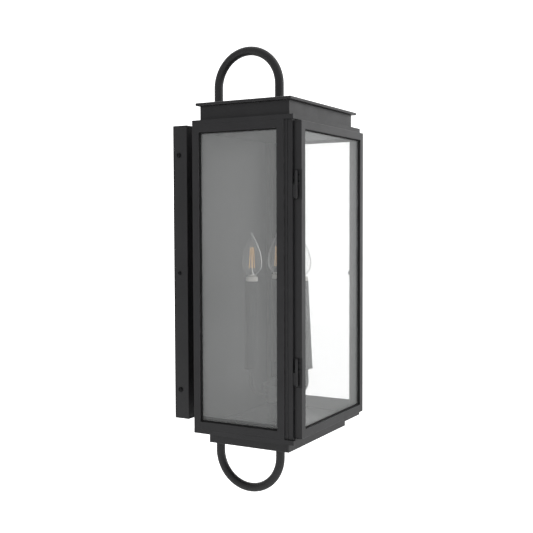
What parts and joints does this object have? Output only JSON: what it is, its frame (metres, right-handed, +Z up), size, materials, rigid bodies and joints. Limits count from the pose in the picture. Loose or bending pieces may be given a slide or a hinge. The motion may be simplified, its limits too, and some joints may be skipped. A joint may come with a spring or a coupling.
{
  "type": "outdoor wall lantern",
  "caption": "Tall glazed wall lantern: hinged front door, stepped cap and base, crook tubes above and below, wall pan, and a cluster of candle lamps inside.",
  "frame": {"origin": "centre of the wall bracket's back face, on the wall", "axes": "+X along the wall to the right of someone facing the wall, +Y into the wall, +Z up"},
  "size_m": [0.264, 0.2667, 0.7974],
  "materials": {
    "black_metal": "satin black powder coat",
    "black_screw": "blackened steel fasteners",
    "plated_steel": "zinc plated steel",
    "window_glass": "clear tempered glass",
    "bulb_glass": "clear blown glass",
    "sleeve_black": "matt black candle sleeve",
    "socket_white": "white moulded lampholder",
    "bulb_metal": "nickel plated bulb base",
    "filament_amber": "amber phosphor filament on a glass stem",
    "black_rubber": "black rubber",
    "black_plastic": "black moulded finger pull"
  },
  "bodies": {
    "lantern": {"back_panel": "black_metal", "base_box": "black_metal", "base_tray": "black_metal", "bulb_base_front": "bulb_metal", "bulb_base_left": "bulb_metal", "bulb_base_right": "bulb_metal", "bulb_filaments": "filament_amber", "bulb_glass_front": "bulb_glass", "bulb_glass_left": "bulb_glass", "bulb_glass_right": "bulb_glass", "candle_cups": "black_metal", "candle_sleeves": "sleeve_black", "cap_plate": "black_metal", "cap_riser": "black_metal", "catch_magnets": "plated_steel", "ceiling_panel": "black_metal", "corner_screws": "black_screw", "crook_nipples": "plated_steel", "crook_nuts": "plated_steel", "crook_washers": "plated_steel", "door_bumpers": "black_rubber", "floor_panel": "black_metal", "glass_clips": "plated_steel", "hinge_knuckles": "black_metal", "hinge_pins": "black_screw", "hub_fixing": "plated_steel", "lamp_arms": "black_metal", "lamp_hub": "black_metal", "lamp_sockets": "socket_white", "left_glass_bead": "black_metal", "left_side_frame": "black_metal", "left_side_glass": "window_glass", "lower_crook": "black_metal", "pan_screws": "black_screw", "post_front_left": "black_metal", "post_front_right": "black_metal", "post_rear_left": "black_metal", "post_rear_right": "black_metal", "right_glass_bead": "black_metal", "right_side_frame": "black_metal", "right_side_glass": "window_glass", "rim_seal": "black_rubber", "saddle_caps": "black_metal", "saddle_screws": "black_screw", "side_gaskets": "black_rubber", "spine_saddles": "black_metal", "spine_spigots": "plated_steel", "spine_tube": "black_metal", "top_tray": "black_metal", "upper_crook": "black_metal", "wall_bracket": "plated_steel", "wall_pan": "black_metal"},
    "door": {"door_frame": "black_metal", "door_glass": "window_glass", "door_gasket": "black_rubber", "door_bead": "black_metal", "finger_pull": "black_plastic", "hinge_leaves": "black_metal", "hinge_screws": "black_screw", "catch_strikes": "plated_steel"}
  },
  "joints": [
    {"name": "door_hinge", "type": "hinge", "parent": "lantern", "child": "door", "pos_m": [-0.1258, -0.2583, 0.1475], "axis": [0, 0, -1], "range_deg": [0, 120]}
  ]
}
